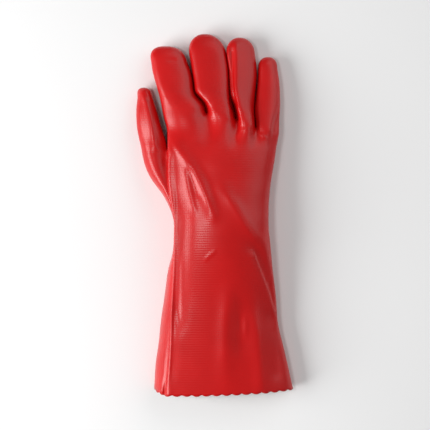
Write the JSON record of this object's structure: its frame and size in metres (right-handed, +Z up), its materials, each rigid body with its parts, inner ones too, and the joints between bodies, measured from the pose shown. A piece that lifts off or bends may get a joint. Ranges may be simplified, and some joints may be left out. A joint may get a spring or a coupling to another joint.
{
  "type": "pvc coated work glove",
  "caption": "Long red coated work glove for the right hand, an empty hollow shell with a flared cuff and a scalloped hem, lying palm down.",
  "frame": {"origin": "on the surface that the glove lies on, below the centre of its bounding box", "axes": "+Y towards the fingertips, +X towards the little finger, +Z up out of the back of the hand"},
  "size_m": [0.1526, 0.3514, 0.0466],
  "materials": {
    "coating": "semi-gloss dipped coating over knit cotton"
  },
  "bodies": {
    "root": {"glove_shell": "coating"}
  },
  "joints": []
}
